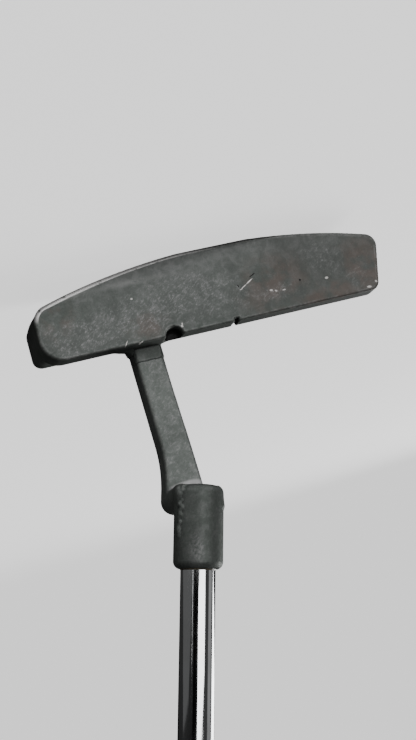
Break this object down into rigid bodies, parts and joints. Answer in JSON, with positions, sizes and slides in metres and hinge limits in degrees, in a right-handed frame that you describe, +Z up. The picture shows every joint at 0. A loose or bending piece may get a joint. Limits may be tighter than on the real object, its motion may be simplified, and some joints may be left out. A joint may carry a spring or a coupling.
{
  "type": "blade putter",
  "caption": "Right-handed heel-toe weighted blade putter with a welded plumber's neck, a stepped steel shaft and a rubber pistol grip.",
  "frame": {"origin": "on the ground, on the sole's flat keel, under the sight mark and midway between the head's leading edge and its back", "axes": "address pose: +Z up, -Y the way the ball leaves, -X towards the toe, +X towards the heel and the golfer"},
  "size_m": [0.3209, 0.0437, 0.8291],
  "materials": {
    "head_black": "satin",
    "weld_black": "satin",
    "chrome": "polished",
    "epoxy": "gloss",
    "band_film": "gloss",
    "tape": "matte",
    "grip_rubber": "matte",
    "cap_rubber": "matte",
    "sight_paint": "matte"
  },
  "bodies": {
    "root": {"blade_head": "head_black", "sight_line_paint": "sight_paint", "neck": "head_black", "neck_weld": "weld_black", "hosel_barrel": "head_black", "hosel_weld": "weld_black", "hosel_epoxy": "epoxy", "shaft": "chrome", "shaft_band": "band_film", "grip_tape": "tape", "grip_sleeve": "grip_rubber", "grip_cap": "cap_rubber"}
  },
  "joints": []
}
